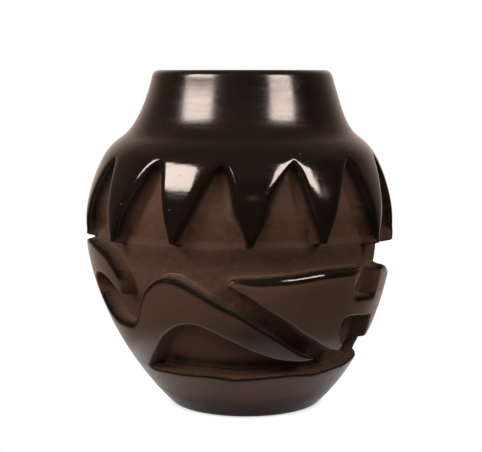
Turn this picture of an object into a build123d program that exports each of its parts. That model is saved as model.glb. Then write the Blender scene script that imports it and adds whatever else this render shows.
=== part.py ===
from build123d import *
import os
from math import cos, degrees, radians, sin, tan

# A coil-built, stone-polished pueblo jar, carved with a feather band and a water serpent.
# Millimetres and degrees. The base stands on Z = 0 and the jar turns about Z.
# Angles round the jar run from the front (-Y) towards +X.

# Outside of the wall, from the lip down to the base
jar_height = 162.2
lip_height = 2.7
lip_radius = 43.5
lip_slope = 14.6
neck_radius = 56.9
neck_height = 130.4
neck_slope = 53.0
belly_radius = 75.0
belly_height = 87.2
base_radius = 36.0
base_slope = 43.6

# How far each curve of the wall keeps to the slope at its ends
lip_reach = 11.2
above_neck_reach = 8.5
below_neck_reach = 12.5
above_belly_reach = 19.6
below_belly_reach = 28.4
base_reach = 31.6

# Thickness of the wall at the lip, the neck, the belly and the base
lip_wall = 7.0
neck_wall = 10.0
belly_wall = 14.0
base_wall = 14.0

# Carved ground round the serpent
carve_depth = 8.0
base_line_height = 23.2
ledge_slope = 30.0

# Feather band round the shoulder
feather_count = 13
feather_tip_height = 83.5
feather_tip_width = 5.0
feather_tip_slope = 8.0
feather_apex_height = 122.2
feather_phase = -6.0
feather_lean = 4.4
notch_depth = 7.0
notch_wall_run = 5.0
notch_floor_width = 0.3
notch_bow = 0.65
notch_levels = [0.003, 0.12, 0.35, 0.68]

# Waves of the serpent's body, each with a hooked end over the valley on its right
wave_count = 3
wave_pitch = 61.0
first_valley_angle = -62.0

# Coil courses from the moulded base up, and the heights of the lapped seams between them,
# taken where each seam's cone passes the belly radius
course_names = [
    "puki_base",
    "lower_wall_coil",
    "lower_belly_coil",
    "belly_coil",
    "upper_belly_coil",
    "shoulder_coil",
    "neck_coil",
    "rim_coil",
]
seam_heights = [26.0, 42.2, 57.6, 76.4, 96.4, 118.0, 145.9]
lap_angle = 15.0

# Room that cutting shapes reach past the wall, and that the first seam keeps from the floor
overcut = 8.0
lap_clearance = 1.5

lip_seat = jar_height - lip_height
feather_pitch = 360.0 / feather_count
outer_reach = belly_radius + overcut


def wall_curves(at_lip, at_neck, at_belly, at_base):
    """Control points of the wall's three curves from lip to base, set in from the outside by these amounts."""
    lip_way = Vector(sin(radians(lip_slope)), -cos(radians(lip_slope)))
    neck_way = Vector(sin(radians(neck_slope)), -cos(radians(neck_slope)))
    base_way = Vector(cos(radians(base_slope)), sin(radians(base_slope)))
    down = Vector(0, -1)
    lip = Vector(lip_radius - at_lip, lip_seat)
    neck = Vector(neck_radius, neck_height) + Vector(neck_way.Y, -neck_way.X) * at_neck
    belly = Vector(belly_radius - at_belly, belly_height)
    base = Vector(base_radius, 0) + Vector(-base_way.Y, base_way.X) * at_base
    return [
        (lip, lip + lip_way * lip_reach, neck - neck_way * above_neck_reach, neck),
        (neck, neck + neck_way * below_neck_reach, belly - down * above_belly_reach, belly),
        (belly, belly + down * below_belly_reach, base + base_way * base_reach, base),
    ]


def solid_inside(at_lip, at_neck, at_belly, at_base):
    """Solid of revolution inside such a wall, flat at its foot and at the lip's seat."""
    curves = wall_curves(at_lip, at_neck, at_belly, at_base)
    lip = curves[0][0]
    base = curves[2][3]
    with BuildPart() as body:
        with BuildSketch(Plane.XZ):
            with BuildLine():
                for controls in curves:
                    Bezier(*controls)
                Polyline(base, (0, base.Y), (0, lip.Y), lip)
            make_face()
        revolve(axis=Axis.Z)
    return body.part


def outside_radius(height):
    """Radius of the uncarved wall at a height, found by halving along its curves."""
    for controls in wall_curves(0, 0, 0, 0):
        if controls[0].Y >= height >= controls[3].Y:
            curve = Edge.make_bezier(*controls)
            high, low = 0.0, 1.0
            for _ in range(40):
                middle = (high + low) / 2
                if (curve @ middle).Y > height:
                    high = middle
                else:
                    low = middle
            return (curve @ high).X


def radial_plane(angle, distance):
    """Upright plane facing out from the axis, its x running on round the jar."""
    outward = Vector(sin(radians(angle)), -cos(radians(angle)), 0)
    onward = Vector(cos(radians(angle)), sin(radians(angle)), 0)
    return Plane(origin=outward * distance, x_dir=onward, z_dir=outward)


def raised_shape(runs, centre_angle):
    """A motif with walls that point at the axis. Each run lists (angle, height above the base line):
    two points are a straight edge, more are a smooth curve."""
    with BuildPart() as shape:
        for distance in (base_radius - carve_depth, outer_reach):
            with BuildSketch(radial_plane(centre_angle, distance)):
                with BuildLine():
                    for run in runs:
                        points = [
                            (distance * tan(radians(angle - centre_angle)), base_line_height + height)
                            for angle, height in run
                        ]
                        if len(points) == 2:
                            Line(*points)
                        else:
                            Spline(*points)
                make_face()
        loft(ruled=True)
    return shape.part


def turned(runs, angle):
    """The same runs moved on round the jar."""
    return [[(a + angle, height) for a, height in run] for run in runs]


# Feet of the raised shapes lie under the base line, where nothing is carved
foot = -overcut
valley_floor = 21.2

# Rising flank of a wave, its hooked end and the valley that the hook hangs over, at angle 0
flank_start = 1 - wave_pitch
wave_crest = (-11, 57.3)
hook_tip = (10.4, 36.5)
wave_flank = [
    [(flank_start, foot), (flank_start, valley_floor)],
    [(flank_start, valley_floor), (flank_start + 8, 22.6), (flank_start + 20, 35.4), (-25, 53), wave_crest],
]
wave_hook = [
    [wave_crest, (1, 56.6), (9, 52.6), (12.6, 45.5), hook_tip],
    [hook_tip, (4.5, 42), (-3, 44.5), (-9, 43), (-12.5, 38), (-12, 31), (-8, 24.5), (1, valley_floor)],
    [(1, valley_floor), (1, foot)],
]

# Long bar that holds the serpent's neck, with a slot under it, from its edge round to the first wave
bar_edge_angle = 62.5
bar_middle = 44.0
bar_outline = [
    [(35.5, foot), (35.5, 6)],
    [(35.5, 6), (30.5, 10), (9.5, 11)],
    [(9.5, 11), (3, 22.5)],
    [(3, 22.5), (0, 35)],
    [(0, 35), (0, 48)],
    [(0, 48), (3.5, 49.3), (11.5, 45.5), (20.5, 42.8), (50, 42.8), (72, 45), (86, 50)],
    [(86, 50), (86, foot)],
    [(86, foot), (35.5, foot)],
]

# Arrow-shaped head with two barbs and a bridge to the bar, measured from the bar's edge
head_middle = -31.5
head_outline = [
    [(-67.1, 44), (-66.7, 46.6), (-64.5, 47.9)],
    [(-64.5, 47.9), (-29.5, 50.3)],
    [(-29.5, 50.3), (-10.1, 50)],
    [(-10.1, 50), (-13.5, 43), (-15.1, 38.5), (-12.5, 35)],
    [(-12.5, 35), (4.5, 34)],
    [(4.5, 34), (4.5, 24)],
    [(4.5, 24), (-17, 26.4)],
    [(-17, 26.4), (-19.2, 24), (-17, 18), (-13.7, 11)],
    [(-13.7, 11), (-16, 9.3)],
    [(-16, 9.3), (-25.5, 13), (-44.5, 26.4), (-67.1, 44)],
]

# Last wave: a crest that draws out into the tapering tail, measured from the first valley
tail_middle = 50.0
tail_outline = [
    [(-2, foot), (-2, valley_floor)],
    [(-2, valley_floor), (11, 22.5)],
    [(11, 22.5), (21, 35), (32.5, 47.5), (48, 41), (63, 29.5), (78, 17.3), (95.5, 9)],
    [(95.5, 9), (95.5, 7.5)],
    [(95.5, 7.5), (83.5, 7), (72, 9.5), (54, 20), (39.5, 26), (26.5, 17.5), (16.5, 7.5), (5, 0)],
    [(5, 0), (5, foot)],
    [(5, foot), (-2, foot)],
]


def wave(valley_angle):
    """One wave of the body, from its flank to its hook over the valley."""
    runs = turned(wave_flank + wave_hook, valley_angle)
    start = runs[0][0]
    end = runs[-1][-1]
    return raised_shape(runs + [[end, start]], (start[0] + end[0]) / 2)


def serpent_shapes():
    """Every raised shape of the serpent, from its tail round to its head."""
    shapes = [raised_shape(turned(tail_outline, first_valley_angle), first_valley_angle + tail_middle)]
    for index in range(wave_count):
        shapes.append(wave(first_valley_angle - index * wave_pitch))
    for outline, middle in ((bar_outline, bar_middle), (head_outline, head_middle)):
        shapes.append(raised_shape(turned(outline, bar_edge_angle), bar_edge_angle + middle))
    return shapes


def serpent_ground():
    """What is cut away round the serpent, from the ledge at the base line to the feather tips."""
    inner_reach = base_radius - carve_depth
    ledge_radius = outside_radius(base_line_height)
    tip_radius = outside_radius(feather_tip_height)

    def ledge(radius):
        return base_line_height + (ledge_radius - radius) * tan(radians(ledge_slope))

    def under_tips(radius):
        return feather_tip_height - (tip_radius - radius) * tan(radians(feather_tip_slope))

    with BuildPart() as ground:
        with BuildSketch(Plane.XZ):
            with BuildLine():
                Polyline(
                    (inner_reach, ledge(inner_reach)),
                    (outer_reach, ledge(outer_reach)),
                    (outer_reach, under_tips(outer_reach)),
                    (inner_reach, under_tips(inner_reach)),
                    close=True,
                )
            make_face()
        revolve(axis=Axis.Z)
        add(solid_inside(lip_wall, carve_depth, carve_depth, carve_depth), mode=Mode.SUBTRACT)
        add(serpent_shapes(), mode=Mode.SUBTRACT)
    return ground.part


def feather_notch():
    """One chip between two feathers, cut level by level: a sharp groove at its apex that widens in a bow
    towards the feather tips, with sloping walls and a flat floor."""
    tip_drop = feather_apex_height - feather_tip_height
    foot_drop = tip_drop + carve_depth * tan(radians(feather_tip_slope))
    tip_edge = degrees(feather_tip_width / 2 / belly_radius)
    left_turn = feather_pitch / 2 + feather_lean - tip_edge
    right_turn = feather_pitch / 2 - feather_lean - tip_edge
    run_per_depth = notch_wall_run / notch_depth
    with BuildPart() as chip:
        for level in [*notch_levels, foot_drop / tip_drop]:
            height = feather_apex_height - level * tip_drop
            radius = outside_radius(height)
            spread = level**notch_bow
            half_width = radius * radians(left_turn + right_turn) / 2 * spread
            depth = min(notch_depth, (half_width - notch_floor_width / 2) / run_per_depth)
            corners = []
            for side, turn in ((-1, left_turn), (1, right_turn)):
                for reach in (-depth, overcut)[::side]:
                    angle = feather_phase + side * (turn * spread + degrees(reach * run_per_depth / radius))
                    corners.append(radial_plane(angle, radius + reach).origin)
            with BuildSketch(Plane.XY.offset(height)):
                with BuildLine():
                    Polyline(*[(corner.X, corner.Y) for corner in corners], close=True)
                make_face()
        loft(ruled=True)
    return chip.part


def carved_jar():
    """The whole jar: polished wall, open mouth, rounded lip, feathers and serpent."""
    notch = feather_notch()
    with BuildPart() as jar:
        add(solid_inside(0, 0, 0, 0))
        add(solid_inside(lip_wall, neck_wall, belly_wall, base_wall), mode=Mode.SUBTRACT)
        with BuildSketch(Plane.XZ):
            with BuildLine():
                outer = (lip_radius, lip_seat)
                inner = (lip_radius - lip_wall, lip_seat)
                ThreePointArc(outer, (lip_radius - lip_wall / 2, jar_height), inner)
                Line(inner, outer)
            make_face()
        revolve(axis=Axis.Z)
        with PolarLocations(0, feather_count):
            add(notch, mode=Mode.SUBTRACT)
        add(serpent_ground(), mode=Mode.SUBTRACT)
    return jar.part


def above_seam(height):
    """Everything round the hollow above a lapped seam, a cone that drops towards the inside."""
    rise = tan(radians(lap_angle))
    floor_edge = wall_curves(0, 0, 0, base_wall)[2][3].X + lap_clearance
    top = jar_height + overcut
    with BuildPart() as region:
        with BuildSketch(Plane.XZ):
            with BuildLine():
                Polyline(
                    (floor_edge, height + (floor_edge - belly_radius) * rise),
                    (outer_reach, height + overcut * rise),
                    (outer_reach, top),
                    (floor_edge, top),
                    close=True,
                )
            make_face()
        revolve(axis=Axis.Z)
    return region.part


os.makedirs("parts", exist_ok=True)
jar = carved_jar()
for index, name in enumerate(course_names):
    with BuildPart() as course:
        add(jar)
        if index > 0:
            add(above_seam(seam_heights[index - 1]), mode=Mode.INTERSECT)
        if index < len(seam_heights):
            add(above_seam(seam_heights[index]), mode=Mode.SUBTRACT)
    course.part.label = name
    export_step(course.part, f"parts/{name}.step")
    print(name, round(course.part.volume), len(course.part.solids()))
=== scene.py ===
import math

import bpy
import numpy as np
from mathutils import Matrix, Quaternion, Vector
from mathutils.bvhtree import BVHTree


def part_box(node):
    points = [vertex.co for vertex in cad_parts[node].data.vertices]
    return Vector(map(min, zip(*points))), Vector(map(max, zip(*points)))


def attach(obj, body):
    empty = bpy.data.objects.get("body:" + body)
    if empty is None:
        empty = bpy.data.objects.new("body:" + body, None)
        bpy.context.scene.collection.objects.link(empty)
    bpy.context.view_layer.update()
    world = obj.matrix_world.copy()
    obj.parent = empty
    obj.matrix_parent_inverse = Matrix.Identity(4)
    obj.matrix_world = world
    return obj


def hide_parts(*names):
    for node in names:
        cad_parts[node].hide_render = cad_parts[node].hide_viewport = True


# Looks of a coil-built, stone-polished pueblo jar, carved with a feather band and a water serpent.
# Sizes are millimetres and degrees unless a heading says otherwise; meshes are written in metres.
# Angles round the jar run from the front (-Y) towards +X.

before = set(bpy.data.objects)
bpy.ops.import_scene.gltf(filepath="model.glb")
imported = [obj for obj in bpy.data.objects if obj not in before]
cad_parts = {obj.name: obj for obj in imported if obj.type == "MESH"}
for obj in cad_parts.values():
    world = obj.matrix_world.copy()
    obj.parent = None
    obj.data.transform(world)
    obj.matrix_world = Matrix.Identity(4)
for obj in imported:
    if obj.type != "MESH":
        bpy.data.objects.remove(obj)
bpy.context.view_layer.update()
MM = 0.001
tiny = 1e-6

# Coil courses from the moulded base up
course_names = [
    "puki_base",
    "lower_wall_coil",
    "lower_belly_coil",
    "belly_coil",
    "upper_belly_coil",
    "shoulder_coil",
    "neck_coil",
    "rim_coil",
]

# Outside of the wall, from the lip down to the base
jar_height = 162.2
lip_height = 2.7
lip_radius = 43.5
lip_slope = 14.6
neck_radius = 56.9
neck_height = 130.4
neck_slope = 53.0
belly_radius = 75.0
belly_height = 87.2
base_radius = 36.0
base_slope = 43.6

# How far each curve of the wall keeps to the slope at its ends
lip_reach = 11.2
above_neck_reach = 8.5
below_neck_reach = 12.5
above_belly_reach = 19.6
below_belly_reach = 28.4
base_reach = 31.6

# Thickness of the wall at the lip, the neck, the belly and the base
lip_wall = 7.0
neck_wall = 10.0
belly_wall = 14.0
base_wall = 14.0

# Share of the wall's thickness at which each seam between courses turns down towards the inside
seam_share = 0.75

# Heights between which the wall is carved, the deepest cut, and the depth of the ground round the serpent
carving_foot = 19.5
carving_top = 125.5
deepest_cut = 9.5
ground_depth = 8.0

# The feathers: their number, the angle of one tip, the height of their feet, and the blend above it
feather_count = 13
feather_tip_angle = 3.46
feather_foot = 84.0
feather_blend = 3.0

# The zone along the top of the serpent's head: its middle, its reach each way, and how squarely it ends
head_edge_angle = 22.0
head_edge_height = 71.0
head_zone_angle = 34.0
head_zone_height = 7.0
head_angle_power = 6
head_height_power = 4

# Blur lengths: profile corners and carved edges, softened by the polishing stone, and the painted dark lines
corner_softness = 0.8
edge_softness = 0.45
line_softness = 1.1

# Roll of the raised faces towards a cut: blur lengths, depth of a full cut, and depths of the roll
roll_softness = 2.0
head_roll_softness = 3.0
full_cut_depth = 2.5
body_roll = 0.25
head_roll = 5.2
feather_roll = 2.0

# Glossy bevel along the head's top, painted black as a painted dark reflection: blur length, where it starts
# (1 is a level edge's slope) and its gain
bevel_softness = 3.0
bevel_start = 0.38
bevel_gain = 8.0

# Depth at which the polish begins to give way to matte clay, and the depth that is all matte
feather_polish_depth = 2.0
feather_matte_depth = 6.3
head_polish_depth = 1.5
head_matte_depth = 5.0
body_polish_depth = 0.1
body_matte_depth = 0.8

# Heights between which the brown slip of the serpent turns to the black of the feathers
brown_height = 76.0
black_height = 84.0

# Painted shade at the foot, darkest where it meets the floor: its height, and how it darkens
foot_shade_height = 11.0
foot_shade_power = 0.7

# Heights between which the polish of the foot gives way to dull clay
polished_height = 42.0
dull_height = 10.0

# Depth of cut at which a polished edge has lost its gloss
gloss_end_depth = 1.5

# Painted shade: a dark line on walls that face up, for the dark they reflect and the shadow at the ledge:
# how strongly a slope shows, and the depth it reaches at ledge and tail
up_slope_gain = 10.8
ledge_line_height = 28.0
ledge_line_depth = 1.3
tail_line_height = 34.0
tail_line_depth = 3.8

# Gloss lost on walls that face down
down_slope_gain = 2.7
underside_dimming = 0.65

# Gloss lost along the edges of the feather tips, from a height down
tip_gloss_height = 102.0
tip_gloss_fade = 8.0
tip_edge_gain = 5.0
tip_dimming = 0.8

# Painted shade: dark clouds on the brown slip where the serpent's band lies in shade, also dimming the
# gloss: angle, height, reach in angle and in height, and darkness
painted_shade_clouds = [
    (22, 37, 14, 7, 0.5),
    (3, 44, 13, 8, 0.6),
    (0, 28.5, 38, 3, 0.75),
    (12, 79.5, 60, 6, 0.56),
    (-40, 29, 9, 4, 0.5),
    (0, 25, 70, 2.5, 0.36),
]

# Rubbed spots on the polish: angle, height, reach in angle and in height, and how far the gloss is lost
rubbed_spots = [
    (32, 108, 2.5, 3, 0.6),
    (4.5, 107, 2, 1, 0.7),
]
rubbed_black_loss = 0.5

# Satin spots on cut clay: angle, height, reach in angle and in height, and how far the clay shines
satin_spots = [(-27, 71.6, 6, 2.6, 0.9)]

# Unevenness of hand work: how far cut edges wander, and the depth of tool marks
hand_seed = 11
edge_wander = 0.3
wander_length = 5.0
tool_mark = 0.06
tool_mark_length = 1.0

# Swell of the wall: height of each wave, number of waves, most lobes, and most climb in radians a millimetre
swell = 0.07
swell_count = 14
swell_lobes = 5
swell_climb = 0.06

# Distances from the axis and from the foot over which the swell grows to its full height
swell_from_axis = 10.0
swell_from_foot = 6.0

# Where the wall leans off its axis: height, reach and how far towards +X
leans = [
    (0, 40, 2.4),
    (100, 40, -0.7),
    (152, 16, 0.8),
]

# Rings where the wall stands out of its drawn profile: height, reach and how far
wall_rings = [
    (107, 8, -0.2),
    (125, 6, 0.75),
]

# Where the carver's lines rise or fall: angle, height, reach in angle and in height, and the rise
hand_shifts = [
    (88, 82, 26, 7, -4.6),
    (-88, 80, 22, 4.5, 3.8),
    (-88, 85.5, 22, 2.8, -3.6),
    (0, 84, 40, 5, 3.0),
    (5, 23, 32, 7, 0.3),
    (75, 23, 22, 6, 1.3),
]

# Where the carver's lines turn aside: angle, height, reach in angle and in height, and the turn
side_shifts = [(9.5, 108, 6, 12, -1.7)]

# Where the carver cut less deep: angle, height, reach in angle and in height, and the share left standing
shallow_spots = [(-92, 83, 18, 5, 0.62)]

# Where an edge is rolled further: angle, height, reach in angle and in height, and how far
roll_spots = [(-4.8, 115, 3.5, 8, 1.6)]

# How the feathers narrow to their tips: turn in radians of a feather's own cycle, height and reach
tip_pinch = 0.28
pinch_height = 84.0
pinch_reach = 8.0

# Heights between which the notches run out to the ground
run_out_height = 100.0
run_out_foot = 89.0

# Flanks of the run-out: the depth that stays as it is, the serpent's top, and depths on serpent and feathers
uncut_depth = 0.4
serpent_top = 79.0
serpent_flank = 2.6
feather_flank = 0.8

# Mesh steps along the profile and round the jar
columns = 960
carved_step = 0.5
lip_step = 0.6
plain_step = 1.0
inside_step = 2.5
foot_step = 2.5
fine_lip_height = 2 * lip_height
flat_foot_height = corner_softness / 4
flat_foot_radius = base_radius - 4 * corner_softness

# Finer samples of the profile and of the carving, from which the mesh is taken
profile_step = 0.1
curve_points = 400
lip_points = 60
rays_per_step = 2
fine_columns = columns * rays_per_step
fine_step = carved_step / rays_per_step
ray_start = 1.3 * belly_radius
blur_reach = 4

# Rows each side that settle the depth of a row, which closes the hairline seams between courses
seam_rows = 3

# Noise over the clay: scale per metre, how far it is drawn out round the jar, detail and roughness
clay_noises = {
    "cloud": (26, 1, 4, 0.55),
    "streak": (60, 9, 6, 0.55),
    "grain": (1500, 1, 2, 0.55),
    "brush": (180, 2.2, 5, 0.65),
    "chips": (420, 1, 3, 0.55),
    "flecks": (900, 1.6, 3, 0.7),
}
noise_middle = 0.5

# Clay colours, each as stops over a noise
# The black slip is also the colour of the painted shade
black_slip_and_shade = [(0.3, (0.005, 0.0031, 0.0020)), (0.7, (0.0085, 0.0054, 0.0035))]
brown_slip = [(0.3, (0.057, 0.0302, 0.0204)), (0.7, (0.072, 0.0381, 0.0258))]
matte_clay = [(0.3, (0.052, 0.0240, 0.0145)), (0.7, (0.078, 0.0360, 0.0218))]
# Worn cut edges, lighter partly as a painted sheen
wear_and_sheen_clay = [(0.3, (0.070, 0.044, 0.032)), (0.7, (0.14, 0.098, 0.076))]
pitted_clay = [(0.3, (0.03, 0.02, 0.015)), (0.7, (0.24, 0.19, 0.16))]

# Reflection of the clay: index, tint, level from satin to full gloss, and the share that dimming takes
clay_index = 1.56
clay_tint = (1.0, 0.82, 0.72, 1.0)
gleam_stops = [(0.0, 0.42), (1.0, 0.5)]
dimming_share = 0.92

# Roughness of the clay, each as stops over a noise; the neck's noise mixes streaks and flecks
polish_roughness = [(0.3, 0.06), (0.75, 0.15)]
neck_roughness = [(0.3, 0.11), (0.7, 0.27)]
satin_roughness = [(0.3, 0.25), (0.75, 0.36)]
matte_roughness = [(0.3, 0.86), (0.7, 1.0)]
streak_share = 0.45
fleck_share = 0.55

# Where the hazier polish of the neck begins, as stops over shares of the jar's height
neck_stops = [(0.74, 0), (0.84, 1)]

# Ragged edges: how far chips move the matte clay and the worn line with its painted sheen, and the stops of
# each
uneven_matte = 0.3
matte_stops = [(0.05, 0), (0.85, 1)]
uneven_line = 0.16
wear_and_sheen_line_stops = [(0.18, 0), (0.28, 1), (0.40, 0)]
wear_and_sheen_patch_stops = [(0.45, 0), (0.62, 0.25)]

# Pits: cells per metre, the stops of a pit's size, and the stops that choose which cells have one
pit_cells = 300.0
pit_size_stops = [(0.05, 1), (0.09, 0)]
pit_choice_stops = [(0.80, 0), (0.84, 1)]

# Bump: share of each noise on polish and on matte clay, strength, and depth in metres
polish_streak = 0.25
polish_cloud = 0.5
matte_brush = 1.6
matte_grain = 0.5
bump_strength = 0.5
bump_depth = 0.0002

# Softboxes in metres: azimuth, distance, width, lower and upper edge, brightness, turn and roll
softboxes = {
    "left_softbox": (-58, 0.8, 0.51, 0.522, 0.92, 17.2, -10, 7),
    "right_softbox": (50.2, 0.8, 0.44, 0.495, 0.83, 16.3, 10, -7),
}

# Fill lights that polish doesn't reflect, with the same values
fill_lights = {
    "high_fill": (-5, 1.0, 1.0, 0.5, 1.1, 2.9, 0, 0),
    "low_fill": (-46, 1.2, 0.8, 0.0, 0.5, 4.6, 0, 0),
    "left_back_light": (-140, 0.7, 0.5, 0.4, 0.9, 2.6, 0, 0),
    "right_back_light": (140, 0.7, 0.5, 0.4, 0.9, 2.6, 0, 0),
}
world_fill = 0.05

# Floor in metres: rings of the disc, its finish, and how it clears to white outwards from the foot
floor_rings = [0.03, 0.06, 0.09]
floor_segments = 96
floor_colour = (0.50, 0.50, 0.49, 1.0)
floor_roughness = 0.9
floor_clear_stops = [(0.0358, 0.5), (0.0385, 1.0)]

# Tent in metres: its middle, radius, lowest elevation and steps
tent_middle = Vector((0.0, 0.0, 0.1))
tent_radius = 1.6
tent_foot = -70
tent_steps = 48

# Brightness of the tent from front to back, and what is added from its foot to its top
tent_back_stops = [(0.50, (0.02, 0.016, 0.013)), (0.75, (0.21, 0.15, 0.115)), (1.0, (0.94, 0.75, 0.655))]
tent_height_stops = [
    (0.20, (0.07, 0.053, 0.045)),
    (0.46, (0.07, 0.053, 0.045)),
    (0.52, (0, 0, 0)),
    (0.80, (0, 0, 0)),
    (0.85, (0.08, 0.055, 0.042)),
    (1.0, (0.08, 0.055, 0.042)),
]

# Camera: sensor and lens in millimetres, place in metres and how far it looks down
sensor_width = 36.0
lens_length = 93.66
camera_place = (0.0, -0.611, 0.1602)
camera_tilt = 6.91


# Profile of the wall


def way(angle_from_down):
    """Direction down the wall, outwards by this angle from straight down."""
    return np.array([math.sin(math.radians(angle_from_down)), -math.cos(math.radians(angle_from_down))])


def cubic(controls):
    """Points on a cubic curve."""
    t = np.linspace(0, 1, curve_points)[:, None]
    a, b, c, d = controls
    return (1 - t) ** 3 * a + 3 * (1 - t) ** 2 * t * b + 3 * (1 - t) * t**2 * c + t**3 * d


def wall_line(at_lip, at_neck, at_belly, at_base):
    """Radius and height down the wall from lip to base, set in from the outside by these amounts."""
    lip_way = way(lip_slope)
    neck_way = way(neck_slope)
    down = way(0)
    base_way = np.array([math.cos(math.radians(base_slope)), math.sin(math.radians(base_slope))])
    lip = np.array([lip_radius - at_lip, jar_height - lip_height])
    neck = np.array([neck_radius, neck_height]) + np.array([neck_way[1], -neck_way[0]]) * at_neck
    belly = np.array([belly_radius - at_belly, belly_height])
    base = np.array([base_radius, 0.0]) + np.array([-base_way[1], base_way[0]]) * at_base
    upper = cubic((lip, lip + lip_way * lip_reach, neck - neck_way * above_neck_reach, neck))
    middle = cubic((neck, neck + neck_way * below_neck_reach, belly - down * above_belly_reach, belly))
    lower = cubic((belly, belly + down * below_belly_reach, base + base_way * base_reach, base))
    return np.vstack([upper, middle, lower])


def lip_line():
    """Round lip from the outside over to the inside."""
    half = lip_wall / 2
    radius = (half**2 + lip_height**2) / (2 * lip_height)
    middle = np.array([lip_radius - half, jar_height - radius])
    start = math.atan2(radius - lip_height, half)
    turns = np.linspace(start, math.pi - start, lip_points)[:, None]
    return middle + radius * np.hstack([np.cos(turns), np.sin(turns)])


def even_line(points, step):
    """The same line with points at an even step."""
    gaps = np.hypot(*np.diff(points, axis=0).T)
    points = points[np.concatenate([[True], gaps > tiny])]
    lengths = np.concatenate([[0], np.cumsum(np.hypot(*np.diff(points, axis=0).T))])
    places = np.arange(0, lengths[-1], step)
    return np.column_stack([np.interp(places, lengths, points[:, axis]) for axis in (0, 1)])


def blur_weights(sigma):
    """Weights of a smooth blur, sigma in samples."""
    reach = int(math.ceil(sigma * blur_reach))
    weights = np.exp(-0.5 * (np.arange(-reach, reach + 1) / sigma) ** 2)
    return weights / weights.sum()


def softened_line(points, sigma):
    """A line with its corners eased, its two ends kept on the axis."""
    weights = blur_weights(sigma)
    reach = len(weights) // 2
    before = 2 * points[0] - points[reach:0:-1]
    after = 2 * points[-1] - points[-2 : -reach - 2 : -1]
    padded = np.vstack([before, points, after])
    eased = np.column_stack([np.convolve(padded[:, axis], weights, "valid") for axis in (0, 1)])
    eased[0, 0] = 0
    eased[-1, 0] = 0
    return eased


def whole_profile():
    """Section of the wall from the axis back to it: base, outside, lip, inside and floor."""
    outside = wall_line(0, 0, 0, 0)[::-1]
    inside = wall_line(lip_wall, neck_wall, belly_wall, base_wall)
    floor_height = inside[-1, 1]
    line = np.vstack([[[0, 0]], outside, lip_line(), inside, [[0, floor_height]]])
    return softened_line(even_line(line, profile_step), corner_softness / profile_step)


def row_places(profile):
    """Places of the fine rows along the profile, closer where the wall is carved."""
    radius, height = profile.T
    inside = np.arange(len(profile)) > np.argmax(height)
    carved = ~inside & (height > carving_foot) & (height < carving_top)
    near_lip = height > jar_height - fine_lip_height
    under_foot = ~inside & (height < flat_foot_height) & (radius < flat_foot_radius)
    zones = [carved, near_lip, inside, under_foot]
    step = np.select(zones, [carved_step, lip_step, inside_step, foot_step], plain_step)
    counted = np.concatenate([[0], np.cumsum(profile_step / step[1:])])
    rows = int(counted[-1])
    fine_rows = np.arange(rows * rays_per_step + 1) / rays_per_step
    places = np.interp(fine_rows, counted, np.arange(len(profile)))
    places[-1] = len(profile) - 1
    return places


# Fields over the carving, with fine rows up the wall and fine columns round it


def ring_turns(count):
    """Angles of this many columns round the jar, in radians."""
    return np.arange(count) * 2 * math.pi / count


def angles_from(angle):
    """Angle of each fine column from this one, within half a turn each way."""
    return (np.degrees(ring_turns(fine_columns)) - angle + 180) % 360 - 180


def nearness(distance, reach, power=2):
    """1 at no distance, falling smoothly to nothing past the reach."""
    return np.exp(-((distance / reach) ** power))


def blurred(field, softness):
    """A field blurred by this length along rows and columns; columns close round the jar."""
    sigma = softness / fine_step
    waves = np.fft.rfftfreq(field.shape[1])
    damping = np.exp(-2 * (math.pi * sigma * waves) ** 2)
    round_jar = np.fft.irfft(np.fft.rfft(field, axis=1) * damping, n=field.shape[1], axis=1)
    weights = blur_weights(sigma)
    reach = len(weights) // 2
    padded = np.pad(round_jar, ((reach, reach), (0, 0)), mode="edge")
    total = np.zeros_like(field)
    for offset, weight in enumerate(weights):
        total += weight * padded[offset : offset + field.shape[0]]
    return total


def hand_noise(source, shape, length):
    """Smooth seeded noise of unit spread and this length."""
    field = blurred(source.standard_normal(shape), length)
    return field / field.std()


def sum_of_spots(spots, height):
    """Soft spots, each with its angle, height, two reaches and amount."""
    total = np.zeros((len(height), fine_columns))
    for angle, level, angle_reach, height_reach, amount in spots:
        near = nearness(angles_from(angle), angle_reach) * nearness(height[:, None] - level, height_reach)
        total += amount * near
    return total


def by_zone(height, on_body, on_head, on_feathers):
    """A value that differs on the serpent's body, along its head's top and on the feathers."""
    along_head = nearness(angles_from(head_edge_angle), head_zone_angle, head_angle_power)
    head = nearness(height - head_edge_height, head_zone_height, head_height_power)[:, None] * along_head
    feathers = np.clip((height - feather_foot) / feather_blend, 0, 1)[:, None]
    serpent = on_body + (on_head - on_body) * head
    return serpent + (on_feathers - serpent) * feathers


# Carving by hand


def frame_tree():
    """The frame's solids as one tree for finding surfaces."""
    vertices = []
    faces = []
    for name in course_names:
        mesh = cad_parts[name].data
        first = len(vertices)
        vertices.extend(vertex.co.copy() for vertex in mesh.vertices)
        faces.extend([first + corner for corner in face.vertices] for face in mesh.polygons)
    return BVHTree.FromPolygons(vertices, faces)


def frame_depth(profile, height, turn_shift, height_shift):
    """Depth of the frame's carving at each row and column, looking in level from outside."""
    tree = frame_tree()
    looked_at = height[:, None] + height_shift
    outside = profile[: np.argmax(profile[:, 1])]
    wall_radius = np.interp(looked_at, outside[:, 1], outside[:, 0])
    turns = ring_turns(fine_columns) + turn_shift
    outward = np.stack([np.sin(turns), -np.cos(turns), np.zeros_like(turns)], axis=-1)
    origins = outward * ray_start
    origins[:, :, 2] = looked_at
    origin_list = (origins.reshape(-1, 3) * MM).tolist()
    inward_list = (-outward.reshape(-1, 3)).tolist()
    found = [tree.ray_cast(place, inward)[3] for place, inward in zip(origin_list, inward_list)]
    reach = np.array(found, dtype=float).reshape(turns.shape) / MM
    depth = np.nan_to_num(wall_radius - (ray_start - reach), nan=deepest_cut)
    around = np.stack([np.roll(depth, step, axis=0) for step in range(-seam_rows, seam_rows + 1)])
    return np.clip(np.median(around, axis=0), 0, deepest_cut)


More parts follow.
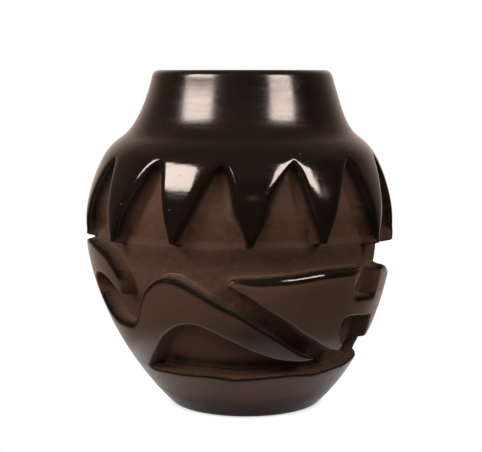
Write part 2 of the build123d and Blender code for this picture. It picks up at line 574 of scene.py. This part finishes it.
def pinched_tips(height):
    """Turn of the carver's lines, in radians, that draws each feather to a narrower tip."""
    turns = ring_turns(fine_columns) - math.radians(feather_tip_angle)
    near = nearness(height - pinch_height, pinch_reach)
    return near[:, None] * np.sin(feather_count * turns) * tip_pinch / feather_count


def run_out(depth, height):
    """The carved depth with notch feet deepened to the ground, and the serpent's flanks made steeper."""
    fall = np.clip((run_out_height - height) / (run_out_height - run_out_foot), 0, 1)[:, None]
    flank = np.interp(height, [serpent_top, feather_foot], [serpent_flank, feather_flank])[:, None]
    share = np.clip((depth - uncut_depth) / flank, 0, 1)
    return depth + fall * np.clip(ground_depth - depth, 0, None) * share


def hand_carved_depth(source, profile, height):
    """Depth of the carving, with its lines and cuts as uneven as hand work."""
    shape = (len(height), fine_columns)
    turn_shift = hand_noise(source, shape, wander_length) * edge_wander / belly_radius
    height_shift = hand_noise(source, shape, wander_length) * edge_wander
    height_shift -= sum_of_spots(hand_shifts, height)
    turn_shift -= np.radians(sum_of_spots(side_shifts, height))
    turn_shift += pinched_tips(height)
    depth = run_out(frame_depth(profile, height, turn_shift, height_shift), height)
    return depth * (1 - sum_of_spots(shallow_spots, height))


def cut_share(depth):
    """How far each place is cut, from 0 on a raised face to 1."""
    return np.clip(depth / full_cut_depth, 0, 1)


def rolled_inset(source, depth, height):
    """How far the carved surface lies inside the wall, with tool marks and edges rolled by polishing."""
    cut = cut_share(depth)
    marks = hand_noise(source, depth.shape, tool_mark_length) * tool_mark * blurred(cut, edge_softness)
    roll = by_zone(height, body_roll, 0, feather_roll) + sum_of_spots(roll_spots, height)
    inset = blurred(depth, edge_softness) + (marks + roll * blurred(cut, roll_softness))
    head_inset = inset + by_zone(height, 0, head_roll, 0) * blurred(cut, head_roll_softness)
    return np.minimum(head_inset, np.maximum(inset, ground_depth))


# Finish of the clay, as fields from 0 to 1


def black_share(height):
    """How far the slip has turned from brown to black."""
    return np.clip((height - brown_height) / (black_height - brown_height), 0, 1)


def dull_share(height):
    """How far the polish of the foot has given way to dull clay."""
    return np.clip((polished_height - height) / (polished_height - dull_height), 0, 1)


def matte_share(inset, height):
    """How far the polish has given way to matte clay in the cuts."""
    polish_end = by_zone(height, body_polish_depth, head_polish_depth, feather_polish_depth)
    matte_start = by_zone(height, body_matte_depth, head_matte_depth, feather_matte_depth)
    matte = np.clip((inset - polish_end) / (matte_start - polish_end), 0, 1)
    return matte * (1 - sum_of_spots(satin_spots, height))


def head_bevel(cut, height):
    """The polished bevel along the top of the serpent's head, also painted black as a painted dark
    reflection.
    """
    level_edge = 1 / (bevel_softness * math.sqrt(2 * math.pi))
    upward = np.gradient(blurred(cut, bevel_softness), axis=0) / fine_step / level_edge
    return np.clip((upward - bevel_start) * bevel_gain, 0, 1) * by_zone(height, 0, 1, 0)


def painted_shade_lines(cut, inset, height):
    """Painted shade: a dark line along the serpent's walls that face up, for the dark they reflect and the
    shadow at the ledge.
    """
    slope = np.gradient(blurred(cut, line_softness), axis=0) / fine_step
    line_heights = [ledge_line_height, tail_line_height]
    line_depth = np.interp(height, line_heights, [ledge_line_depth, tail_line_depth])
    on_face = np.clip(line_depth[:, None] - inset, 0, 1)
    return np.clip(slope * up_slope_gain, 0, 1) * on_face * by_zone(height, 1, 0, 0)


def undersides(cut, height):
    """Lost gloss on the serpent's walls that face down."""
    slope = np.gradient(blurred(cut, line_softness), axis=0) / fine_step
    on_serpent = by_zone(height, underside_dimming, underside_dimming, 0)
    return np.clip(-slope * down_slope_gain, 0, 1) * on_serpent


def tip_edges(cut, height):
    """Lost gloss along the rolled edges of the feather tips."""
    low = np.clip((tip_gloss_height - height) / tip_gloss_fade, 0, 1)[:, None]
    near_edge = np.clip(blurred(cut, roll_softness) * tip_edge_gain, 0, 1)
    return low * near_edge * by_zone(height, 0, 0, tip_dimming)


def carved_fields(depth, height):
    """Finish fields of the carved wall, over fine rows and columns."""
    cut = cut_share(depth)
    inset = blurred(depth, edge_softness)
    black = black_share(height)[:, None]
    bevel = head_bevel(cut, height)
    rubbed = sum_of_spots(rubbed_spots, height)
    # Painted shade: dark lines on walls that face up and dark clouds, which also dim the gloss
    dark = np.maximum(painted_shade_lines(cut, inset, height), sum_of_spots(painted_shade_clouds, height))
    dim = np.maximum(dark, dull_share(height)[:, None])
    dim = np.maximum(dim, undersides(cut, height))
    gloss = np.maximum(black * np.clip(1 - inset / gloss_end_depth, 0, 1), bevel)
    return {
        "carve": blurred(cut, edge_softness),
        "matte": matte_share(inset, height),
        "dark": dark,
        "dim": np.maximum(dim, tip_edges(cut, height)),
        "gloss": gloss * (1 - rubbed),
        # Black is the slip's own colour, and on the head's bevel a painted dark reflection
        "black": np.maximum(black, bevel) * (1 - rubbed * rubbed_black_loss),
    }


def plain_fields(height, inside):
    """Finish fields of the wall where it isn't carved, over fine rows and mesh columns."""
    black = black_share(height)
    by_row = {
        "carve": np.zeros(len(height)),
        "matte": inside.astype(float),
        # Painted shade: darker towards the floor at the foot
        "dark": np.clip(1 - height / foot_shade_height, 0, 1) ** foot_shade_power,
        "dim": dull_share(height),
        "gloss": black,
        "black": black,
    }
    return {key: np.repeat(level[:, None], columns, axis=1) for key, level in by_row.items()}


# Surface of the jar


def hand_swell(source, turns, height):
    """Gentle swell of a hand-built wall."""
    total = np.zeros((len(height), len(turns)))
    for _ in range(swell_count):
        lobes = source.integers(1, swell_lobes + 1)
        climb = source.uniform(-swell_climb, swell_climb)
        phase = source.uniform(0, 2 * math.pi)
        total += np.sin(lobes * turns[None, :] + climb * height[:, None] + phase)
    return swell * total


def wall_ring(height):
    """How far hand work sets each height of the wall out, all round."""
    return sum(out * nearness(height - level, reach) for level, reach, out in wall_rings)


def hand_lean(height):
    """How far the hand-built wall stands off its axis towards +X at each height."""
    return sum(lean * nearness(height - level, reach) for level, reach, lean in leans)


def surface_points(source, radius, height, inset, inside):
    """Rows by columns of points on the carved, swelling and leaning wall."""
    turns = ring_turns(columns)
    swelling = hand_swell(source, turns, height) * np.clip(radius / swell_from_axis, 0, 1)[:, None]
    swelling *= np.clip(height / swell_from_foot, 0, 1)[:, None]
    out_of_line = np.where(inside, 0, wall_ring(height))
    reach = radius[:, None] - inset + swelling + out_of_line[:, None]
    reach[radius < tiny] = 0
    heights = np.repeat(height[:, None], columns, axis=1)
    points = np.stack([reach * np.sin(turns), -reach * np.cos(turns), heights], axis=-1)
    points[:, :, 0] += hand_lean(height)[:, None]
    return points


def surface_normals(points):
    """Unit normals of the rows of points, whose first and last rows lie on the axis."""
    along = np.gradient(points, axis=0)
    across = np.roll(points, -1, axis=1) - np.roll(points, 1, axis=1)
    normals = np.cross(across, along)
    normals[0] = (0, 0, -1)
    normals[-1] = (0, 0, 1)
    return normals / np.linalg.norm(normals, axis=-1, keepdims=True)


def jar_surface():
    """Rows by columns of points, normals and finish fields, each row's height, and whether it is inside."""
    source = np.random.default_rng(hand_seed)
    profile = whole_profile()
    places = row_places(profile)
    index = np.arange(len(profile))
    radius = np.interp(places, index, profile[:, 0])
    height = np.interp(places, index, profile[:, 1])
    inside = places > np.argmax(profile[:, 1])

    band = np.flatnonzero(~inside & (height > carving_foot) & (height < carving_top))
    depth = hand_carved_depth(source, profile, height[band])
    inset = np.zeros((len(places), columns))
    inset[band] = rolled_inset(source, depth, height[band])[:, ::rays_per_step]
    fields = plain_fields(height, inside)
    for key, field in carved_fields(depth, height[band]).items():
        fields[key][band] = field[:, ::rays_per_step]

    rows = np.arange(0, len(places), rays_per_step)
    points = surface_points(source, radius[rows], height[rows], inset[rows], inside[rows])
    row_fields = {key: field[rows] for key, field in fields.items()}
    return points, surface_normals(points), row_fields, height[rows], inside[rows]


# Courses of the wall as separate pieces


def seam_row(points, outer_row, inner_row):
    """Row of points inside the wall, level with the seam's outer edge and deeper than the carving."""
    row = points[outer_row].copy()
    centre = row.mean(axis=0)[:2]
    ways = row[:, :2] - centre
    inner_radius = np.linalg.norm(points[inner_row, :, :2] - centre, axis=1).mean()
    outer_radius = np.linalg.norm(ways, axis=1)
    radius = outer_radius.max() + (inner_radius - outer_radius.max()) * seam_share
    row[:, :2] = centre + ways / outer_radius[:, None] * radius
    return row


def course_rows(surface):
    """Row numbers of each course, up the outside and down the inside, and the rows with the seams added."""
    points, normals, fields, height, inside = surface
    outer = np.flatnonzero(~inside)
    inner = np.flatnonzero(inside)
    chains = []
    seams = []
    low_outer = 0
    low_inner = len(height) - 1
    for course, above in zip(course_names, course_names[1:]):
        seam_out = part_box(course)[1][2] / MM
        seam_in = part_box(above)[0][2] / MM
        high_outer = outer[np.argmin(abs(height[outer] - seam_out))]
        high_inner = inner[np.argmin(abs(height[inner] - seam_in))]
        seams.append((high_outer, high_inner))
        turn_down = len(height) + len(seams) - 1
        up_and_down = [*range(low_outer, high_outer + 1), turn_down, *range(high_inner, low_inner + 1)]
        chains.append(up_and_down + ([turn_down - 1] if len(seams) > 1 else []))
        low_outer = high_outer
        low_inner = high_inner
    chains.append([*range(low_outer, low_inner + 1), len(height) + len(seams) - 1])
    points = np.concatenate([points, [seam_row(points, *seam) for seam in seams]])
    inner_rows = [seam[1] for seam in seams]
    normals = np.concatenate([normals, normals[inner_rows]])
    fields = {key: np.concatenate([field, field[inner_rows]]) for key, field in fields.items()}
    return chains, points, normals, fields


def ring_faces(ring_count, closed):
    """Four-sided faces between neighbouring rings of vertices."""
    first = np.arange(ring_count if closed else ring_count - 1)
    second = (first + 1) % ring_count
    column = np.arange(columns)
    onward = (column + 1) % columns
    corners = [
        first[:, None] * columns + column,
        first[:, None] * columns + onward,
        second[:, None] * columns + onward,
        second[:, None] * columns + column,
    ]
    return np.stack(corners, axis=-1).reshape(-1, 4).tolist()


def pole_faces(pole, ring, ahead):
    """Triangles from a vertex on the axis to a ring of vertices, wound one way (1) or the other (-1)."""
    faces = []
    for column in range(columns):
        pair = [ring * columns + (column + 1) % columns, ring * columns + column]
        faces.append([pole] + pair[::ahead])
    return faces


def course_piece(name, rows, points, normals, fields):
    """One course of the wall as a closed mesh that carries the finish fields on its vertices."""
    on_axis = np.ptp(points[rows, :, 0], axis=1) < tiny
    rings = [row for row, pole in zip(rows, on_axis) if not pole]
    poles = [row for row, pole in zip(rows, on_axis) if pole]
    vertices = np.vstack([points[rings].reshape(-1, 3), points[poles, 0]])
    ways = np.vstack([normals[rings].reshape(-1, 3), normals[poles, 0]])
    faces = ring_faces(len(rings), not poles)
    if poles:
        first_pole = len(rings) * columns
        faces.extend(pole_faces(first_pole, 0, 1))
        faces.extend(pole_faces(first_pole + 1, len(rings) - 1, -1))
    mesh = bpy.data.meshes.new(name + "_clay")
    mesh.from_pydata((vertices * MM).tolist(), [], faces)
    mesh.shade_smooth()
    for key, field in fields.items():
        level = np.concatenate([field[rings].reshape(-1), field[poles, 0]])
        mesh.attributes.new(key, "FLOAT", "POINT").data.foreach_set("value", level.astype(np.float32))
    mesh.normals_split_custom_set_from_vertices(ways.tolist())
    piece = bpy.data.objects.new(name + "_clay", mesh)
    bpy.context.collection.objects.link(piece)
    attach(piece, "root")
    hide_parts(name)
    return piece


# Shader nodes


def new_node(tree, kind, values=None, **settings):
    """A node with its settings and its input values."""
    node = tree.nodes.new(kind)
    for key, value in settings.items():
        setattr(node, key, value)
    for key, value in (values or {}).items():
        node.inputs[key].default_value = value
    return node


def ramp(tree, source, stops):
    """Colours, or grey levels, over a factor."""
    node = tree.nodes.new("ShaderNodeValToRGB")
    elements = node.color_ramp.elements
    while len(elements) < len(stops):
        elements.new(0.5)
    for element, (place, shade) in zip(elements, stops):
        colour = shade if isinstance(shade, tuple) else (shade, shade, shade)
        element.position = place
        element.color = (*colour, 1.0)
    tree.links.new(source, node.inputs["Fac"])
    return node.outputs["Color"]


def mixed(tree, factor, low, high):
    """A mix of two colour sockets by a factor socket."""
    node = new_node(tree, "ShaderNodeMix", data_type="RGBA")
    low_input, high_input = [socket for socket in node.inputs if socket.type == "RGBA"]
    [result] = [socket for socket in node.outputs if socket.type == "RGBA"]
    tree.links.new(factor, node.inputs["Factor"])
    tree.links.new(low, low_input)
    tree.links.new(high, high_input)
    return result


def maths(tree, operation, *values):
    """A sum on sockets and numbers."""
    node = new_node(tree, "ShaderNodeMath", operation=operation)
    for place, value in enumerate(values):
        if isinstance(value, (int, float)):
            node.inputs[place].default_value = value
        else:
            tree.links.new(value, node.inputs[place])
    return node.outputs[0]


def weighted_sum(tree, first, first_share, second, second_share):
    """Two sockets, each times its share, added."""
    first_part = maths(tree, "MULTIPLY", first, first_share)
    second_part = maths(tree, "MULTIPLY", second, second_share)
    return maths(tree, "ADD", first_part, second_part)


def noise(tree, coordinates, scale, drawn_out, detail, roughness):
    """Noise over the jar, drawn out round it."""
    mapping = new_node(tree, "ShaderNodeMapping", {"Scale": (1, 1, drawn_out)})
    values = {"Scale": scale, "Detail": detail, "Roughness": roughness}
    texture = new_node(tree, "ShaderNodeTexNoise", values)
    tree.links.new(coordinates, mapping.inputs["Vector"])
    tree.links.new(mapping.outputs["Vector"], texture.inputs["Vector"])
    return texture.outputs["Fac"]


def roughened(tree, factor, chips, amount):
    """A factor moved up and down by a noise, by this much from end to end."""
    offset = maths(tree, "MULTIPLY", maths(tree, "SUBTRACT", chips, noise_middle), amount)
    return maths(tree, "ADD", factor, offset)


# Clay


def pit_factor(tree, coordinates):
    """1 in small round pits scattered over the clay, else 0."""
    cells = new_node(tree, "ShaderNodeTexVoronoi", {"Scale": pit_cells})
    tree.links.new(coordinates, cells.inputs["Vector"])
    dots = ramp(tree, cells.outputs["Distance"], pit_size_stops)
    chosen = ramp(tree, cells.outputs["Color"], pit_choice_stops)
    return maths(tree, "MULTIPLY", dots, chosen)


def neck_factor(tree, coordinates):
    """1 on the neck, else 0."""
    place = tree.nodes.new("ShaderNodeSeparateXYZ")
    tree.links.new(coordinates, place.inputs["Vector"])
    return ramp(tree, maths(tree, "DIVIDE", place.outputs["Z"], jar_height * MM), neck_stops)


def clay_patterns(tree):
    """Sockets of the clay's finish fields, of the noises over it, and of its neck, matte parts and pits."""
    coordinates = tree.nodes.new("ShaderNodeTexCoord").outputs["Object"]
    clay = {}
    for key in ("carve", "matte", "dark", "dim", "gloss", "black"):
        clay[key] = new_node(tree, "ShaderNodeAttribute", attribute_name=key).outputs["Fac"]
    for key, settings in clay_noises.items():
        clay[key] = noise(tree, coordinates, *settings)
    clay["neck"] = neck_factor(tree, coordinates)
    clay["pits"] = pit_factor(tree, coordinates)
    clay["matte"] = ramp(tree, roughened(tree, clay["matte"], clay["chips"], uneven_matte), matte_stops)
    return clay


def wear_and_sheen_factor(tree, clay):
    """Patches along the cut edges where the slip is worn and lighter, partly as a painted sheen."""
    line = ramp(tree, roughened(tree, clay["carve"], clay["chips"], uneven_line), wear_and_sheen_line_stops)
    return maths(tree, "MULTIPLY", line, ramp(tree, clay["cloud"], wear_and_sheen_patch_stops))


def clay_colour(tree, clay):
    """Slip from brown to black, matte clay in the cuts, painted shade as dark clouds, lines and foot, worn
    edges with painted sheen, the bevel's painted black, and pits.
    """
    black = ramp(tree, clay["cloud"], black_slip_and_shade)
    slip = mixed(tree, clay["black"], ramp(tree, clay["cloud"], brown_slip), black)
    colour = mixed(tree, clay["matte"], slip, ramp(tree, clay["brush"], matte_clay))
    # Painted shade: the dark field turns the colour to the black slip
    colour = mixed(tree, clay["dark"], colour, black)
    colour = mixed(tree, wear_and_sheen_factor(tree, clay), colour, ramp(tree, clay["chips"], wear_and_sheen_clay))
    return mixed(tree, clay["pits"], colour, ramp(tree, clay["chips"], pitted_clay))


def clay_roughness(tree, clay):
    """Bright polish, hazier on the neck, satin on the serpent and matte in the cuts."""
    speckled = weighted_sum(tree, clay["streak"], streak_share, clay["flecks"], fleck_share)
    bright = ramp(tree, clay["streak"], polish_roughness)
    bright = mixed(tree, clay["neck"], bright, ramp(tree, speckled, neck_roughness))
    polish = mixed(tree, clay["gloss"], ramp(tree, clay["streak"], satin_roughness), bright)
    return mixed(tree, clay["matte"], polish, ramp(tree, clay["brush"], matte_roughness))


def clay_gleam(tree, clay):
    """Specular level, higher on full gloss and lower where the polish is dimmed."""
    dimmed = maths(tree, "SUBTRACT", 1.0, maths(tree, "MULTIPLY", clay["dim"], dimming_share))
    return maths(tree, "MULTIPLY", ramp(tree, clay["gloss"], gleam_stops), dimmed)


def clay_bump(tree, clay):
    """Polishing streaks on the slip, brush marks and grain on matte clay, and pits."""
    polish = weighted_sum(tree, clay["streak"], polish_streak, clay["cloud"], polish_cloud)
    matte = weighted_sum(tree, clay["brush"], matte_brush, clay["grain"], matte_grain)
    height = maths(tree, "SUBTRACT", mixed(tree, clay["matte"], polish, matte), clay["pits"])
    bump = new_node(tree, "ShaderNodeBump", {"Strength": bump_strength, "Distance": bump_depth})
    tree.links.new(height, bump.inputs["Height"])
    return bump.outputs["Normal"]


def clay_material():
    """Stone-polished black slip, browner below the feathers, turning to matte clay in the cuts."""
    material = bpy.data.materials.new("burnished_blackware")
    material.use_nodes = True
    tree = material.node_tree
    shader = tree.nodes["Principled BSDF"]
    shader.inputs["IOR"].default_value = clay_index
    shader.inputs["Specular Tint"].default_value = clay_tint
    clay = clay_patterns(tree)
    tree.links.new(clay_colour(tree, clay), shader.inputs["Base Color"])
    tree.links.new(clay_roughness(tree, clay), shader.inputs["Roughness"])
    tree.links.new(clay_gleam(tree, clay), shader.inputs["Specular IOR Level"])
    tree.links.new(clay_bump(tree, clay), shader.inputs["Normal"])
    return material


# Studio


def towards(azimuth, elevation):
    """Unit direction from the jar, azimuth from the camera's side (-Y) towards +X."""
    turn = math.radians(azimuth)
    climb = math.radians(elevation)
    return Vector((math.cos(climb) * math.sin(turn), -math.cos(climb) * math.cos(turn), math.sin(climb)))


def softbox(name, azimuth, distance, wide, low, high, radiance, yaw, roll):
    """A rectangular light between two heights, turned by yaw from the jar and rolled in its plane."""
    lamp = bpy.data.lights.new(name, "AREA")
    lamp.shape = "RECTANGLE"
    lamp.size = wide
    lamp.size_y = high - low
    lamp.energy = radiance * math.pi * lamp.size * lamp.size_y
    stand = bpy.data.objects.new(name, lamp)
    stand.location = towards(azimuth, 0) * distance + Vector((0, 0, (low + high) / 2))
    upright = (-towards(azimuth - yaw, 0)).to_track_quat("-Z", "Y")
    stand.rotation_euler = (upright @ Quaternion((0, 0, 1), math.radians(roll))).to_euler()
    stand.visible_camera = False
    bpy.context.collection.objects.link(stand)
    return stand


def make_lights():
    """The softboxes that polish reflects, and the fill lights that it doesn't."""
    for name, setting in softboxes.items():
        softbox(name, *setting)
    for name, setting in fill_lights.items():
        softbox(name, *setting).visible_glossy = False


def shown_ray_factor(tree):
    """1 for camera, glossy and transmission rays, which show the white background, else 0."""
    path = tree.nodes.new("ShaderNodeLightPath")
    shown = maths(tree, "ADD", path.outputs["Is Camera Ray"], path.outputs["Is Glossy Ray"])
    shown = maths(tree, "ADD", shown, path.outputs["Is Transmission Ray"])
    return maths(tree, "MINIMUM", shown, 1.0)


def make_world():
    """White to look at, and a weak even fill on the jar."""
    world = bpy.data.worlds.new("white_room")
    bpy.context.scene.world = world
    world.use_nodes = True
    tree = world.node_tree
    level = ramp(tree, shown_ray_factor(tree), [(0.0, world_fill), (1.0, 1.0)])
    tree.links.new(level, tree.nodes["Background"].inputs["Color"])


def disc_mesh(name, rings, segments):
    """A flat disc of rings of these radii, in metres."""
    vertices = [(0, 0, 0)]
    faces = []
    for ring, radius in enumerate(rings):
        here = 1 + ring * segments
        back = here - segments
        for segment in range(segments):
            turn = 2 * math.pi * segment / segments
            onward = (segment + 1) % segments
            vertices.append((radius * math.cos(turn), radius * math.sin(turn), 0))
            if ring == 0:
                faces.append((0, here + segment, here + onward))
            else:
                faces.append((back + segment, here + segment, here + onward, back + onward))
    mesh = bpy.data.meshes.new(name)
    mesh.from_pydata(vertices, [], faces)
    return mesh


def floor_material():
    """Pale floor: takes the jar's shadow at the foot and is plain white further out."""
    material = bpy.data.materials.new("pale_floor")
    material.use_nodes = True
    tree = material.node_tree
    shader = tree.nodes["Principled BSDF"]
    shader.inputs["Base Color"].default_value = floor_colour
    shader.inputs["Roughness"].default_value = floor_roughness
    shader.inputs["Specular IOR Level"].default_value = 0.0
    coordinates = tree.nodes.new("ShaderNodeTexCoord").outputs["Object"]
    far = new_node(tree, "ShaderNodeVectorMath", operation="LENGTH")
    tree.links.new(coordinates, far.inputs[0])
    clear = ramp(tree, far.outputs["Value"], floor_clear_stops)
    shown = maths(tree, "MULTIPLY", clear, shown_ray_factor(tree))
    white = new_node(tree, "ShaderNodeEmission", {"Strength": 1.0})
    blend = tree.nodes.new("ShaderNodeMixShader")
    for place, socket in enumerate((shown, shader.outputs[0], white.outputs[0])):
        tree.links.new(socket, blend.inputs[place])
    tree.links.new(blend.outputs[0], tree.nodes["Material Output"].inputs["Surface"])
    return material


def make_floor():
    """A pale disc under the jar, centred on its leaning foot."""
    floor = bpy.data.objects.new("floor", disc_mesh("floor", floor_rings, floor_segments))
    floor.location.x = hand_lean(0) * MM
    bpy.context.collection.objects.link(floor)
    floor.data.materials.append(floor_material())


def share_across_tent(tree, coordinate):
    """How far across the tent a coordinate lies, from 0 to 1."""
    return maths(tree, "MULTIPLY_ADD", coordinate, 1 / (2 * tent_radius), 1 / 2)


def tent_material():
    """What polish reflects: dark in front, dimly warm above and below, and paler round to the back."""
    material = bpy.data.materials.new("tent_cloth")
    material.use_nodes = True
    tree = material.node_tree
    coordinates = tree.nodes.new("ShaderNodeTexCoord").outputs["Object"]
    place = tree.nodes.new("ShaderNodeSeparateXYZ")
    tree.links.new(coordinates, place.inputs["Vector"])
    round_back = ramp(tree, share_across_tent(tree, place.outputs["Y"]), tent_back_stops)
    overhead = ramp(tree, share_across_tent(tree, place.outputs["Z"]), tent_height_stops)
    both = new_node(tree, "ShaderNodeVectorMath", operation="ADD")
    tree.links.new(round_back, both.inputs[0])
    tree.links.new(overhead, both.inputs[1])
    glow = tree.nodes.new("ShaderNodeEmission")
    tree.links.new(both.outputs["Vector"], glow.inputs["Color"])
    tree.links.new(glow.outputs[0], tree.nodes["Material Output"].inputs["Surface"])
    return material


def tent_mesh():
    """A dome of rings of points from the lowest elevation to the top."""
    rise = (90 - tent_foot) / tent_steps
    turn = 360 / tent_steps
    vertices = []
    faces = []
    for ring in range(tent_steps + 1):
        for step in range(tent_steps):
            vertices.append(towards(turn * step, tent_foot + rise * ring) * tent_radius)
    for ring in range(tent_steps):
        here = ring * tent_steps
        above = here + tent_steps
        for step in range(tent_steps):
            onward = (step + 1) % tent_steps
            faces.append((here + step, here + onward, above + onward, above + step))
    mesh = bpy.data.meshes.new("reflected_tent")
    mesh.from_pydata(vertices, [], faces)
    mesh.shade_smooth()
    return mesh


def make_tent():
    """A dome round the jar, seen only in reflections."""
    tent = bpy.data.objects.new("reflected_tent", tent_mesh())
    tent.location = tent_middle
    bpy.context.collection.objects.link(tent)
    tent.data.materials.append(tent_material())
    tent.visible_camera = False
    tent.visible_diffuse = False
    tent.visible_shadow = False
    tent.visible_transmission = False


def make_camera():
    """The photograph's view, from a little below the rim and looking slightly down."""
    camera = bpy.data.cameras.new("camera")
    camera.sensor_width = sensor_width
    camera.lens = lens_length
    stand = bpy.data.objects.new("camera", camera)
    stand.location = camera_place
    stand.rotation_euler = (math.radians(90 - camera_tilt), 0, 0)
    bpy.context.collection.objects.link(stand)
    bpy.context.scene.camera = stand


# The jar and its studio
course_chains, *course_surface = course_rows(jar_surface())
burnished_clay = clay_material()
for course, chain in zip(course_names, course_chains):
    made = course_piece(course, chain, *course_surface)
    made.data.materials.append(burnished_clay)
make_lights()
make_world()
make_floor()
make_tent()
make_camera()
bpy.context.scene.view_settings.view_transform = "Standard"
